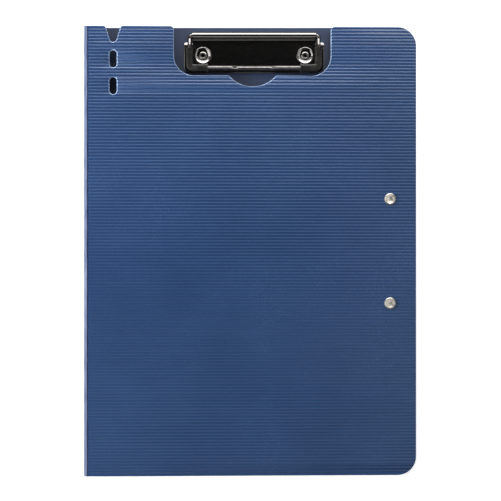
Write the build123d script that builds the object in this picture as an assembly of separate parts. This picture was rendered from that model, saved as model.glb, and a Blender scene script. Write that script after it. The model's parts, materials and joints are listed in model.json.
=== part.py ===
from build123d import *
import math
import os

# Clipboard folder, closed and lying on its back panel with the front cover up.
# X runs from the spine to the free edge, Y towards the clip, Z up. All sizes are in millimetres.
# The origin is at the middle of the outline, on the surface that the back panel rests on.

# Folded sheet
overall_width = 233.0
overall_length = 315.0
spine_height = 12.0
sheet_thickness = 1.8
corner_radius = 13.0
fold_relief = 0.6
fold_clearance = 0.06
closing_gap = 0.3

# Window over the clip, with its thumb cut-out
window_width = 110.0
window_depth = 34.5
window_offset = 1.4
window_corner_radius = 12.6
window_lip_radius = 2.8
thumb_chord = 33.0
thumb_depth = 7.6

# Pen notch and pen slots
pen_spine_margin = 20.5
notch_mouth_width = 10.6
notch_depth = 11.3
notch_tip_radius = 2.5
notch_lip_radius = 1.5
slot_width = 5.1
slot_length = 11.9
slot_upper_margin = 23.1
slot_pitch = 18.8

# Clip base plate
clip_offset = 2.5
plate_width = 99.0
plate_length = 22.0
plate_edge_margin = 10.2
plate_gauge = 0.9
plate_height = 1.4
plate_low_corner = 5.0
plate_high_corner = 2.0
tube_length = 86.6
tube_edge_margin = 3.4

# Clip rivets and their washers
rivet_spacing = 72.0
rivet_edge_margin = 19.8
rivet_bore = 3.4
rivet_web = 0.65
rivet_wall = 0.4
rivet_flange_diameter = 5.6
rivet_flange_thickness = 0.5
rivet_hole_clearance = 0.1
seat_top_diameter = 11.4
seat_floor_diameter = 6.8
washer_diameter = 9.0
washer_thickness = 0.4
washer_recess_clearance = 0.3
rear_head_diameter = 6.8
rear_head_thickness = 0.4
rear_inset = 0.15

# Wire bail and corner sleeves
wire_diameter = 3.0
bail_half_width = 45.3
bail_reach = 23.0
bail_inner_end = 20.0
bail_bore_clearance = 0.08
bail_tube_bend = 2.0
bail_corner_bend = 2.6
leg_rise_start = 2.6
leg_rise_run = 4.4
leg_rise_bend = 3.0
bump_half_length = 13.3
bump_ramp = 4.0
bump_rise = 2.0
bump_forward = 0.5
bump_bend = 3.0
sleeve_diameter = 4.8
sleeve_leg_start = 9.0
sleeve_bar_end = 32.5
sleeve_fit = 0.05
sleeve_rest_gap = 0.3
sleeve_flange_length = 0.9
sleeve_flange_proud = 0.4
grip_groove_count = 5
grip_groove_pitch = 1.3
grip_groove_width = 0.55
grip_groove_depth = 0.35
grip_start = 1.8

# Inner pocket and its rivets
pocket_thickness = 0.5
pocket_gap = 0.8
pocket_free_margin = 12.0
pocket_spine_margin = 12.0
pocket_low_margin = 7.5
pocket_flange = 8.0
pocket_rivet_flange = 12.5
pocket_free_side_height = 200.0
pocket_spine_side_height = 110.0
pocket_corner_radius = 5.0
pocket_rivet_edge = 18.4
pocket_rivet_mouth_margin = 13.4
pocket_rivet_pitch = 73.2
pocket_head_diameter = 8.2
pocket_head_height = 0.9
pocket_head_rim = 0.9
pocket_dish_depth = 0.55
pocket_shank_diameter = 4.0
pocket_tail_diameter = 5.6
pocket_tail_thickness = 0.4
pocket_washer_diameter = 7.2
pocket_washer_thickness = 0.4
pocket_rivet_clearance = 0.1

# Fold geometry. Each crease turns about an axis set in from both outer faces, so that the flat sheet
# between the two panels is as long as the rounded crease around the corner.
fold_radius = sheet_thickness + fold_relief
axis_inset = fold_radius * (1 - math.pi / 4)
panel_start = fold_radius - axis_inset
spine_x = -overall_width / 2
half_length = overall_length / 2
fold_x = spine_x + axis_inset
rear_fold_z = axis_inset
front_fold_z = spine_height - axis_inset
spine_span = front_fold_z - rear_fold_z
web_start = axis_inset + fold_clearance

# The cover slopes down until what hangs under it lies a closing gap above the back panel.
pocket_depth = pocket_gap + pocket_thickness
rivet_stack = pocket_thickness + pocket_washer_thickness + pocket_tail_thickness
hanging_depth = max(pocket_depth, rivet_stack)
pocket_reach = overall_width - axis_inset - pocket_free_margin
hanging_face = axis_inset - sheet_thickness - hanging_depth
closing_drop = front_fold_z - sheet_thickness - closing_gap
wedge = math.asin(closing_drop / math.hypot(pocket_reach, hanging_face)) + math.atan2(hanging_face, pocket_reach)
cover_reach = (overall_width - axis_inset - axis_inset * math.sin(wedge)) / math.cos(wedge)
cover_place = Location((fold_x, 0, front_fold_z), (0, math.degrees(wedge), 0))
cover_under = axis_inset - sheet_thickness

# Places along the cover and the pocket
pen_x = spine_x + pen_spine_margin
slot_upper_y = half_length - slot_upper_margin
slot_lower_y = slot_upper_y - slot_pitch
pocket_low_y = pocket_low_margin - half_length
pocket_mouth_free_y = pocket_low_y + pocket_free_side_height
pocket_mouth_spine_y = pocket_low_y + pocket_spine_side_height
pocket_rivet_upper_y = pocket_mouth_free_y - pocket_rivet_mouth_margin
pocket_rivet_lower_y = pocket_rivet_upper_y - pocket_rivet_pitch

# Clip geometry
plate_high_y = half_length - plate_edge_margin
plate_low_y = plate_high_y - plate_length
rivet_y = half_length - rivet_edge_margin
wire_radius = wire_diameter / 2
tube_bore = wire_radius + bail_bore_clearance
tube_radius = tube_bore + plate_gauge
tube_y = half_length - tube_edge_margin - tube_radius
plate_top = sheet_thickness + plate_height
plate_under = plate_top - plate_gauge
tube_z = plate_under + tube_radius
seat_floor = sheet_thickness + plate_gauge
sleeve_radius = sleeve_diameter / 2
sleeve_z = plate_top + sleeve_rest_gap + sleeve_radius + sleeve_flange_proud
leg_rise = sleeve_z - tube_z
bail_place = Pos(clip_offset, tube_y, tube_z)
rivet_bore_radius = rivet_bore / 2
rivet_barrel_radius = rivet_bore_radius + rivet_wall
rivet_hole_radius = rivet_barrel_radius + rivet_hole_clearance
recess_depth = rear_inset + rear_head_thickness + washer_thickness
rivet_centres = [clip_offset - rivet_spacing / 2, clip_offset + rivet_spacing / 2]
overcut = 1.0


def cover_u(x):
    """Distance along the cover from its fold axis to a place seen at x from above."""
    return (x - fold_x) / math.cos(wedge)


def block(low, high):
    """Box between two corners."""
    size = [b - a for a, b in zip(low, high)]
    centre = [(a + b) / 2 for a, b in zip(low, high)]
    return Pos(*centre) * Box(*size)


def disc(radius, low, high, x=0.0, y=0.0):
    """Upright cylinder between two heights."""
    return Pos(x, y, (low + high) / 2) * Cylinder(radius, high - low)


def turned(points):
    """Solid turned about the Z axis from a half section of radius and height pairs."""
    section = Plane.XZ * make_face(Polyline(*points, close=True))
    return revolve(section, Axis.Z)


def along_y(face):
    """Prism of a section in the XZ plane, as long as the folder."""
    return extrude(Plane.XZ * face, half_length, both=True)


def folded_panel(reach, outer):
    """Panel that runs along X from a fold axis at the origin. Its outer face looks up or down, as outer says."""
    web_inner = -axis_inset * outer
    outer_face = axis_inset * outer
    inner_face = (axis_inset - sheet_thickness) * outer
    points = [
        (web_start, outer_face),
        (reach, outer_face),
        (reach, inner_face),
        (panel_start, inner_face),
        (panel_start, web_inner),
        (web_start, web_inner),
    ]
    panel = along_y(make_face(Polyline(*points, close=True)))
    corners = panel.edges().filter_by(Axis.Z).group_by(Axis.X)[-1]
    return fillet(corners, corner_radius)


def make_back_panel():
    """Back panel with a hole for each clip rivet and a recess that sinks its washer."""
    panel = Pos(fold_x, 0, rear_fold_z) * folded_panel(overall_width - axis_inset, -1)
    recess_radius = washer_diameter / 2 + washer_recess_clearance
    for x in rivet_centres:
        panel -= disc(rivet_hole_radius, -overcut, sheet_thickness + overcut, x, rivet_y)
        panel -= disc(recess_radius, -overcut, recess_depth, x, rivet_y)
    return panel


def make_spine_panel():
    """Spine panel: a plate with a thinner web and a round bead on each fold axis."""
    plate = block(
        (-axis_inset, -half_length, panel_start),
        (sheet_thickness - axis_inset, half_length, spine_span - panel_start),
    )
    web = block((-axis_inset, -half_length, 0), (axis_inset, half_length, spine_span))
    bead = along_y(Circle(axis_inset))
    return Pos(fold_x, 0, rear_fold_z) * (plate + web + bead + Pos(0, 0, spine_span) * bead)


def window_face():
    """Outline of the clip window, open at the top edge of the cover."""
    low = half_length - window_depth
    mouth = Pos(0, half_length - window_depth / 2) * Rectangle(window_width, window_depth)
    corners = mouth.vertices().group_by(Axis.Y)[0]
    mouth = fillet(corners, window_corner_radius)
    thumb_radius = (thumb_chord**2 / 4 + thumb_depth**2) / (2 * thumb_depth)
    thumb = Pos(0, low - thumb_depth + thumb_radius) * Circle(thumb_radius)
    thumb &= Pos(0, low) * Rectangle(thumb_chord, 2 * thumb_depth)
    lip = Pos(0, half_length) * Rectangle(window_width + 2 * window_lip_radius, 2 * window_lip_radius)
    for side in (-1, 1):
        lip -= Pos(side * (window_width / 2 + window_lip_radius), half_length - window_lip_radius) * Circle(
            window_lip_radius
        )
    return mouth + thumb + lip


def notch_face():
    """Outline of the V-shaped pen notch with a round tip and rounded lips."""
    half_mouth = notch_mouth_width / 2
    tip_y = half_length - notch_depth
    centre_y = tip_y + notch_tip_radius
    distance = math.hypot(half_mouth, half_length - centre_y)
    touch = math.atan2(half_length - centre_y, half_mouth) - math.acos(notch_tip_radius / distance)
    touch_x = notch_tip_radius * math.cos(touch)
    touch_y = centre_y + notch_tip_radius * math.sin(touch)
    sides = [(-half_mouth, half_length), (-touch_x, touch_y), (touch_x, touch_y), (half_mouth, half_length)]
    above = [(half_mouth, half_length + overcut), (-half_mouth, half_length + overcut)]
    face = make_face(Polyline(*sides, *above, close=True))
    lip = Polyline(
        (half_mouth + notch_lip_radius, half_length),
        (half_mouth + notch_lip_radius, half_length + overcut),
        (-half_mouth - notch_lip_radius, half_length + overcut),
        (-half_mouth - notch_lip_radius, half_length),
        (-half_mouth, half_length - notch_lip_radius),
        (half_mouth, half_length - notch_lip_radius),
        close=True,
    )
    return face + Pos(0, centre_y) * Circle(notch_tip_radius) + make_face(lip)


def cover_cut(face, x):
    """Cut through the cover, placed in the cover's own frame."""
    return Pos(cover_u(x), 0, -sheet_thickness - overcut) * extrude(face, 2 * (sheet_thickness + overcut))


def make_front_cover():
    """Front cover with its window, pen notch, pen slots and two rivet holes."""
    cover = folded_panel(cover_reach, 1)
    cover -= cover_cut(window_face(), window_offset)
    cover -= cover_cut(notch_face(), pen_x)
    for slot_y in (slot_upper_y, slot_lower_y):
        slot = Pos(0, slot_y) * SlotOverall(slot_length, slot_width, rotation=90)
        cover -= cover_cut(slot, pen_x)
    hole_radius = pocket_shank_diameter / 2 + pocket_rivet_clearance
    for rivet_height in (pocket_rivet_upper_y, pocket_rivet_lower_y):
        hole = Pos(0, rivet_height) * Circle(hole_radius)
        cover -= cover_cut(hole, overall_width / 2 - pocket_rivet_edge)
    return cover_place * cover


def make_inner_pocket():
    """Pocket sheet under the cover: flat flanges on three sides, a front sheet that stands off, a slanted mouth."""
    near = pocket_spine_margin
    far = pocket_reach
    low = pocket_low_y
    outline = Polyline(
        (near, low),
        (far, low),
        (far, pocket_mouth_free_y),
        (far - pocket_rivet_flange, pocket_mouth_free_y),
        (near, pocket_mouth_spine_y),
        close=True,
    )
    sheet = make_face(outline)
    sheet = fillet(sheet.vertices().group_by(Axis.X)[-1], pocket_corner_radius)
    pocket = Pos(0, 0, cover_under - pocket_depth) * extrude(sheet, pocket_depth)
    inner_near = near + pocket_flange
    inner_far = far - pocket_rivet_flange
    inner_low = low + pocket_flange
    open_top = half_length
    pocket -= block(
        (inner_near + pocket_thickness, inner_low + pocket_thickness, cover_under - pocket_gap),
        (inner_far - pocket_thickness, open_top, cover_under + overcut),
    )
    frame_low = cover_under - pocket_depth - overcut
    frame_high = cover_under - pocket_thickness
    pocket -= block((near - overcut, low - overcut, frame_low), (inner_near, open_top, frame_high))
    pocket -= block((inner_far, low - overcut, frame_low), (far + overcut, open_top, frame_high))
    pocket -= block((near - overcut, low - overcut, frame_low), (far + overcut, inner_low, frame_high))
    hole_radius = pocket_shank_diameter / 2 + pocket_rivet_clearance
    rivet_u = cover_u(overall_width / 2 - pocket_rivet_edge)
    for rivet_height in (pocket_rivet_upper_y, pocket_rivet_lower_y):
        pocket -= disc(hole_radius, frame_low, cover_under + overcut, rivet_u, rivet_height)
    return cover_place * pocket


def pocket_rivet_place(rivet_height):
    """Place of a pocket rivet: its axis square to the cover, heights counted from the fold axis."""
    return cover_place * Pos(cover_u(overall_width / 2 - pocket_rivet_edge), rivet_height, 0)


def make_pocket_rivet(rivet_height):
    """Rivet with a dished head on the cover and a flattened tail behind the washer."""
    head_radius = pocket_head_diameter / 2
    shank_radius = pocket_shank_diameter / 2
    tail_radius = pocket_tail_diameter / 2
    head_top = axis_inset + pocket_head_height
    dish_radius = head_radius - pocket_head_rim
    tail_top = cover_under - pocket_thickness - pocket_washer_thickness
    tail_low = tail_top - pocket_tail_thickness
    bevel = pocket_head_height / 3
    section = [
        (0, tail_low),
        (tail_radius, tail_low),
        (tail_radius, tail_top),
        (shank_radius, tail_top),
        (shank_radius, axis_inset),
        (head_radius, axis_inset),
        (head_radius, head_top - bevel),
        (head_radius - bevel, head_top),
        (dish_radius, head_top),
        (dish_radius / 2, head_top - pocket_dish_depth * 3 / 4),
        (0, head_top - pocket_dish_depth),
    ]
    return pocket_rivet_place(rivet_height) * turned(section)


def make_pocket_washer(rivet_height):
    """Flat washer between the pocket's flange and the rivet's tail."""
    top = cover_under - pocket_thickness
    low = top - pocket_washer_thickness
    washer = disc(pocket_washer_diameter / 2, low, top)
    washer -= disc(pocket_shank_diameter / 2 + pocket_rivet_clearance, low - overcut, top + overcut)
    return pocket_rivet_place(rivet_height) * washer


def make_clip_base_plate():
    """Pressed steel plate: turned-down rim, dished rivet seats, and a tube curled along its top edge."""
    centre = Pos(clip_offset, (plate_high_y + plate_low_y) / 2, sheet_thickness)
    outline = Rectangle(plate_width, plate_length)
    outline = fillet(outline.vertices().group_by(Axis.Y)[0], plate_low_corner)
    outline = fillet(outline.vertices().group_by(Axis.Y)[-1], plate_high_corner)
    plate = extrude(outline, plate_height)
    plate -= extrude(offset(outline, -plate_gauge), plate_height - plate_gauge)
    plate = centre * plate
    half_tube = tube_length / 2
    plate -= block(
        (clip_offset - half_tube, plate_high_y - 2 * plate_gauge, sheet_thickness - overcut),
        (clip_offset + half_tube, plate_high_y + overcut, plate_under),
    )
    plate += block(
        (clip_offset - half_tube, plate_high_y - plate_gauge, plate_under), (clip_offset + half_tube, tube_y, plate_top)
    )
    tube_axis = Pos(clip_offset, tube_y, tube_z) * Rot(0, 90, 0)
    plate += tube_axis * Cylinder(tube_radius, tube_length)
    plate -= tube_axis * Cylinder(tube_bore, tube_length + 2 * overcut)
    seat_radius = seat_top_diameter / 2
    floor_radius = seat_floor_diameter / 2
    lip = plate_gauge / 3
    section = [
        (rivet_hole_radius, sheet_thickness),
        (floor_radius + lip, sheet_thickness),
        (seat_radius + lip, plate_under),
        (seat_radius + lip, plate_top),
        (seat_radius, plate_top),
        (floor_radius, seat_floor),
        (rivet_hole_radius, seat_floor),
    ]
    for x in rivet_centres:
        plate -= disc(seat_radius + lip, sheet_thickness - overcut, plate_top + overcut, x, rivet_y)
        plate += Pos(x, rivet_y, 0) * turned(section)
    return plate


def make_clip_rivet(x):
    """Half-hollow rivet: a flat head behind the back panel, and a blind tube rolled over on the base plate."""
    flange_radius = rivet_flange_diameter / 2
    flange_top = seat_floor + rivet_flange_thickness
    roll = rivet_flange_thickness / 3
    head_radius = rear_head_diameter / 2
    head_top = rear_inset + rear_head_thickness
    head_bevel = rear_head_thickness / 2
    section = [
        (0, rear_inset),
        (head_radius - head_bevel, rear_inset),
        (head_radius, rear_inset + head_bevel),
        (head_radius, head_top),
        (rivet_barrel_radius, head_top),
        (rivet_barrel_radius, seat_floor),
        (flange_radius, seat_floor),
        (flange_radius, flange_top - roll),
        (flange_radius - roll, flange_top),
        (rivet_bore_radius + roll, flange_top),
        (rivet_bore_radius, flange_top - roll),
        (rivet_bore_radius, rear_inset + rivet_web),
        (0, rear_inset + rivet_web),
    ]
    return Pos(x, rivet_y, 0) * turned(section)


def make_clip_washer(x):
    """Washer sunk in the back panel's recess, between the panel and the rivet's tail."""
    low = recess_depth - washer_thickness
    washer = disc(washer_diameter / 2, low, recess_depth)
    washer -= disc(rivet_hole_radius, low - overcut, recess_depth + overcut)
    return Pos(x, rivet_y, 0) * washer


def swept_wire(points, bends, radius):
    """Round wire along straight runs joined by arcs."""
    path = FilletPolyline(*points, radius=bends)
    section = Plane(path @ 0, z_dir=path % 0) * Circle(radius)
    return sweep(section, path=path)


def make_wire_bail():
    """Bent wire: two ends in the tube, two legs, and a bar with a raised bump for the finger."""
    ramp_start = bump_half_length + bump_ramp / 2
    ramp_end = bump_half_length - bump_ramp / 2
    half = [
        (bail_inner_end, 0, 0),
        (bail_half_width, 0, 0),
        (bail_half_width, -leg_rise_start, 0),
        (bail_half_width, -leg_rise_start - leg_rise_run, leg_rise),
        (bail_half_width, -bail_reach, leg_rise),
        (ramp_start, -bail_reach, leg_rise),
        (ramp_end, -bail_reach - bump_forward, leg_rise + bump_rise),
    ]
    other_half = [(-x, y, z) for x, y, z in reversed(half)]
    bends = [bail_tube_bend, leg_rise_bend, leg_rise_bend, bail_corner_bend, bump_bend, bump_bend]
    wire = swept_wire(half + other_half, bends + bends[::-1], wire_radius)
    return bail_place * wire


def make_corner_sleeve(side):
    """Moulded grip over one corner of the bail, with a flange at each end and grooves for the finger."""
    points = [
        (bail_half_width, -sleeve_leg_start, leg_rise),
        (bail_half_width, -bail_reach, leg_rise),
        (sleeve_bar_end, -bail_reach, leg_rise),
    ]
    sleeve = swept_wire(points, [bail_corner_bend], sleeve_radius)
    leg = Pos(bail_half_width, 0, leg_rise) * Rot(90, 0, 0)
    bar = Pos(0, -bail_reach, leg_rise) * Rot(0, 90, 0)
    flange = Cylinder(sleeve_radius + sleeve_flange_proud, sleeve_flange_length)
    groove = Cylinder(sleeve_radius + overcut, grip_groove_width)
    groove -= Cylinder(sleeve_radius - grip_groove_depth, grip_groove_width)
    sleeve += leg * Pos(0, 0, sleeve_leg_start + sleeve_flange_length / 2) * flange
    sleeve += bar * Pos(0, 0, sleeve_bar_end + sleeve_flange_length / 2) * flange
    for i in range(grip_groove_count):
        step = grip_start + i * grip_groove_pitch
        sleeve -= leg * Pos(0, 0, sleeve_leg_start + step) * groove
        sleeve -= bar * Pos(0, 0, sleeve_bar_end + step) * groove
    bore_points = [
        (bail_half_width, -sleeve_leg_start + overcut, leg_rise),
        (bail_half_width, -bail_reach, leg_rise),
        (sleeve_bar_end - overcut, -bail_reach, leg_rise),
    ]
    sleeve -= swept_wire(bore_points, [bail_corner_bend], wire_radius + sleeve_fit)
    if side < 0:
        sleeve = mirror(sleeve, Plane.YZ)
    return bail_place * sleeve


nodes = {
    "back_panel": make_back_panel(),
    "spine_panel": make_spine_panel(),
    "front_cover": make_front_cover(),
    "inner_pocket": make_inner_pocket(),
    "pocket_rivet_upper": make_pocket_rivet(pocket_rivet_upper_y),
    "pocket_rivet_lower": make_pocket_rivet(pocket_rivet_lower_y),
    "pocket_washer_upper": make_pocket_washer(pocket_rivet_upper_y),
    "pocket_washer_lower": make_pocket_washer(pocket_rivet_lower_y),
    "clip_base_plate": make_clip_base_plate(),
    "clip_rivet_left": make_clip_rivet(rivet_centres[0]),
    "clip_rivet_right": make_clip_rivet(rivet_centres[1]),
    "clip_washer_left": make_clip_washer(rivet_centres[0]),
    "clip_washer_right": make_clip_washer(rivet_centres[1]),
    "wire_bail": make_wire_bail(),
    "corner_sleeve_left": make_corner_sleeve(-1),
    "corner_sleeve_right": make_corner_sleeve(1),
}

os.makedirs("parts", exist_ok=True)
for name, shape in nodes.items():
    export_step(shape, "parts/" + name + ".step")
    print(name, "volume", round(shape.volume, 1), "solids", len(shape.solids()))
print("cover slope in degrees", round(math.degrees(wedge), 3), "cover reach", round(cover_reach, 3))
print("fold axes at x", round(fold_x, 3), "z", round(rear_fold_z, 3), round(front_fold_z, 3))
print("bail axis at y", round(tube_y, 3), "z", round(tube_z, 3), "leg rise", round(leg_rise, 3))
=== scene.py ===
# %% [markdown]
# # A clipboard folder
# A sheet of ribbed dark blue plastic is creased twice, so that it makes a back panel, a narrow spine and
# a front cover. A black wire clip is riveted to the back panel and looks out through a window in the
# cover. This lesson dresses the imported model: the plastic sheets, the two creases, the pressed steel
# clip, its bent wire and the rivets are modelled again with their real detail, in place.

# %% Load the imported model
import bmesh
import bpy
import json
import math
from mathutils import Matrix, Vector


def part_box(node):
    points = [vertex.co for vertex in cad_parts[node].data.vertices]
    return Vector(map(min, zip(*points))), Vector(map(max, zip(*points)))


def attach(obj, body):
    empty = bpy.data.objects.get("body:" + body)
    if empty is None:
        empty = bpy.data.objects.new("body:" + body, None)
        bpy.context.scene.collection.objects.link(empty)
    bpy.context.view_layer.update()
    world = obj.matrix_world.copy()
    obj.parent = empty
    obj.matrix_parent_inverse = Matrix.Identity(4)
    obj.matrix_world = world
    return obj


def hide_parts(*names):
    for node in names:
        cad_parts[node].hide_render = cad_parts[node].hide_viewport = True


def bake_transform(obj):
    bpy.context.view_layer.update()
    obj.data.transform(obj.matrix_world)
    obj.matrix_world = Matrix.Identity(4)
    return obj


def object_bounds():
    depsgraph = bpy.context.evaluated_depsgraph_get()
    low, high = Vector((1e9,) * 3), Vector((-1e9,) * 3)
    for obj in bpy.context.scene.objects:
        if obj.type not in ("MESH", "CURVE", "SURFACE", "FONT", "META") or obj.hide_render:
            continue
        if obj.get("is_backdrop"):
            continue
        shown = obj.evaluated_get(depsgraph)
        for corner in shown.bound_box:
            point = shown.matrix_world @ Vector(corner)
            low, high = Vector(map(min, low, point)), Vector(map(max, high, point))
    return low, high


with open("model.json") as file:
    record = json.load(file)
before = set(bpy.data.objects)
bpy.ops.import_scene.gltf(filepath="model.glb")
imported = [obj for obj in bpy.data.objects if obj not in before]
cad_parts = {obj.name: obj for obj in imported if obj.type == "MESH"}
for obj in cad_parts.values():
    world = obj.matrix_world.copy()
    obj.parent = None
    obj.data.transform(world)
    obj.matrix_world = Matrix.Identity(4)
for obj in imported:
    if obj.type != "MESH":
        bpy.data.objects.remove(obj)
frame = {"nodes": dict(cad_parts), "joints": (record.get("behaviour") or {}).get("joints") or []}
cad_low, cad_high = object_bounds()
MM = 0.001

# %% [markdown]
# ## Where things are
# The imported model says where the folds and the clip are, so the places below are read from it. Each
# panel is modelled in its own flat coordinates: X away from its fold, Y along the fold, Z out of the
# folder. One matrix per panel then puts it in place. The cover slopes down from the spine by a small
# angle, which is read from the height of the cover's outer face at its two sides.

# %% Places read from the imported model
JOINTS = {joint["name"]: Vector(joint["pos_m"]) for joint in frame["joints"]}
REAR_FOLD = JOINTS["spine_fold"]
FRONT_FOLD = JOINTS["cover_fold"]
BAIL_AXIS = JOINTS["bail_swing"]
HALF_LENGTH = cad_high.y
TOP_EDGE = cad_high.y
INSET = REAR_FOLD.x - cad_low.x
FOLD_RADIUS = INSET / (1 - math.pi / 4)
PANEL_START = FOLD_RADIUS - INSET
SPINE_SPAN = FRONT_FOLD.z - REAR_FOLD.z
BOARD_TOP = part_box("back_panel")[1].z
SHEET = BOARD_TOP

cover_points = [v.co for v in frame["nodes"]["front_cover"].data.vertices]
fold_point = max(cover_points, key=lambda p: p.z)
free_point = max(cover_points, key=lambda p: p.x + p.z)
COVER_SLOPE = math.atan2(fold_point.z - free_point.z, free_point.x - fold_point.x)
COVER = Matrix.Translation(FRONT_FOLD) @ Matrix.Rotation(COVER_SLOPE, 4, "Y")
BACK = Matrix.Translation(REAR_FOLD) @ Matrix.Rotation(math.pi, 4, "X")
SPINE = Matrix.Translation(REAR_FOLD) @ Matrix.Rotation(-math.pi / 2, 4, "Y")
COVER_REACH = (cad_high.x - FRONT_FOLD.x - INSET * math.sin(COVER_SLOPE)) / math.cos(COVER_SLOPE)
BACK_REACH = cad_high.x - REAR_FOLD.x
print("cover slope", round(math.degrees(COVER_SLOPE), 3), "fold radius mm", round(FOLD_RADIUS / MM, 3))

# %% [markdown]
# ## Camera
# The folder lies flat and is photographed from straight above, with a long lens about a metre away, so
# the camera looks down and its focal length follows from the size of a pixel on the cover.

# %% Camera
PICTURE_SIDE = 501
PIXEL = 0.698 * MM
CAMERA_HEIGHT = 1.0
AIM_Y = 0.4 * MM

camera_data = bpy.data.cameras.new("camera")
camera_data.sensor_width = 36.0
focus_distance = CAMERA_HEIGHT - cad_high.z
camera_data.lens = camera_data.sensor_width * focus_distance / (PICTURE_SIDE * PIXEL)
camera_data.clip_start = 0.05
camera_data.clip_end = 20.0
camera = bpy.data.objects.new("camera", camera_data)
bpy.context.scene.collection.objects.link(camera)
camera.location = (0.0, AIM_Y, CAMERA_HEIGHT)
bpy.context.scene.camera = camera
bpy.context.scene.view_settings.view_transform = "Standard"
print("lens", round(camera_data.lens, 1))

# %% [markdown]
# ## Shader maths as Python
# A finish is easier to read as an expression than as a web of nodes. The class below wraps a socket, so
# that `1 - mask * 0.3` adds the Math nodes by itself. A second class holds a material. Its one method
# makes any other node: the node's settings are set first, then its inputs.


# %% A socket that understands arithmetic
class Value:
    """One number that changes over a surface."""

    def __init__(self, finish, socket):
        self.finish = finish
        self.socket = socket

    def math(self, operation, *others):
        inputs = {0: self}
        for place, other in enumerate(others, start=1):
            inputs[place] = other
        return self.finish.add("ShaderNodeMath", {"operation": operation}, inputs)

    def __add__(self, other):
        return self.math("ADD", other)

    def __mul__(self, other):
        return self.math("MULTIPLY", other)

    def __sub__(self, other):
        return self.math("SUBTRACT", other)

    def __rsub__(self, other):
        return self.finish.add("ShaderNodeMath", {"operation": "SUBTRACT"}, {0: other, 1: self})

    __radd__ = __add__
    __rmul__ = __mul__

    def clamp(self):
        return self.math("MINIMUM", 1.0).math("MAXIMUM", 0.0)

    def power(self, exponent):
        return self.math("POWER", exponent)

    def band(self, low, high):
        """0 below low, 1 above high, and a smooth step between them."""
        settings = {"interpolation_type": "SMOOTHSTEP"}
        inputs = {"Value": self, "From Min": low, "From Max": high}
        return self.finish.add("ShaderNodeMapRange", settings, inputs)


class Recipe:
    """A tree of nodes, for a material or for the world."""

    def __init__(self, tree):
        self.tree = tree

    def add(self, kind, settings, inputs, output=0):
        """Any node: its kind, its settings, the values or links of its inputs, and which output to use."""
        node = self.tree.nodes.new(kind)
        for key, value in settings.items():
            setattr(node, key, value)
        for key, value in inputs.items():
            if isinstance(value, Value):
                self.tree.links.new(value.socket, node.inputs[key])
            else:
                node.inputs[key].default_value = value
        return Value(self, node.outputs[output])

    def rays(self, *kinds):
        """1 for the kinds of rays named, such as Is Camera Ray."""
        return sum((self.add("ShaderNodeLightPath", {}, {}, kind) for kind in kinds), 0.0).clamp()


class Finish(Recipe):
    """A material with a Principled shader."""

    def __init__(self, name, **constants):
        self.material = bpy.data.materials.new(name)
        self.material.use_nodes = True
        super().__init__(self.material.node_tree)
        self.shader = self.tree.nodes["Principled BSDF"]
        for key, value in constants.items():
            self.shader.inputs[key.replace("_", " ")].default_value = value
        self.position = self.add("ShaderNodeTexCoord", {}, {}, "Object")

    def noise(self, scale, detail=2.0, stretch=(1.0, 1.0, 1.0), roughness=0.5):
        """Soft random pattern with about scale features in a metre."""
        where = self.add("ShaderNodeMapping", {}, {"Vector": self.position, "Scale": stretch})
        inputs = {"Vector": where, "Scale": scale, "Detail": detail, "Roughness": roughness}
        return self.add("ShaderNodeTexNoise", {}, inputs, "Fac")

    def along(self, axis):
        """The surface's own X, Y or Z, in metres."""
        return self.add("ShaderNodeSeparateXYZ", {}, {"Vector": self.position}, axis)

    def mix(self, factor, first, second):
        """A colour between two others."""
        settings = {"data_type": "RGBA", "clamp_factor": True}
        return self.add("ShaderNodeMix", settings, {0: factor, 6: first, 7: second}, 2)

    def set(self, **inputs):
        """Links values to the shader's sockets."""
        for key, value in inputs.items():
            self.tree.links.new(value.socket, self.shader.inputs[key.replace("_", " ")])

    def bump(self, height, distance):
        """Fine relief, with its depth in metres."""
        inputs = {"Height": height, "Distance": distance, "Strength": 1.0}
        self.set(Normal=self.add("ShaderNodeBump", {}, inputs))
        return self


def paint(red, green, blue):
    """Linear colour from the three numbers of a screen colour."""

    def linear(level):
        level = level / 255
        return level / 12.92 if level <= 0.04045 else ((level + 0.055) / 1.055) ** 2.4

    return (linear(red), linear(green), linear(blue), 1.0)


print("helpers for finishes ready")

# %% [markdown]
# ## Floor and backdrop
# The background is pure white. The floor glows, but only the camera's rays see that glow, so it adds no
# light, and the floor still takes the soft shadow under the folder's edge. In reflections the floor is
# dark paper, so that the tube's top edge stays black. The world is white to the camera alone. Its own
# light comes from low down in front and at the left, and is weaker in reflections. It stays dim
# overhead, because the flat black plate mirrors it.

# %% Floor and world
FLOOR_SIDE = 6.0
FLOOR_DROP = 0.02 * MM
FLOOR_GLOW = 0.76
WHITE = (1.0, 1.0, 1.0, 1.0)
LIT_PAPER = (0.82, 0.82, 0.82, 1.0)
DARK_PAPER = (0.10, 0.10, 0.10, 1.0)
OVERHEAD_GLOW = 0.015
GLOSS_SHARE = 0.25
HORIZON_GLOW = 0.10
FRONT_GLOW = 0.55
LEFT_GLOW = 0.40
WALL_FADE = (0.3, 0.85)


def new_object(bm, name, materials=()):
    """Object at the origin made of a bmesh, which is used up."""
    mesh = bpy.data.meshes.new(name)
    bm.to_mesh(mesh)
    bm.free()
    for material in materials:
        mesh.materials.append(material)
    made = bpy.data.objects.new(name, mesh)
    bpy.context.scene.collection.objects.link(made)
    return made


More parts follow.
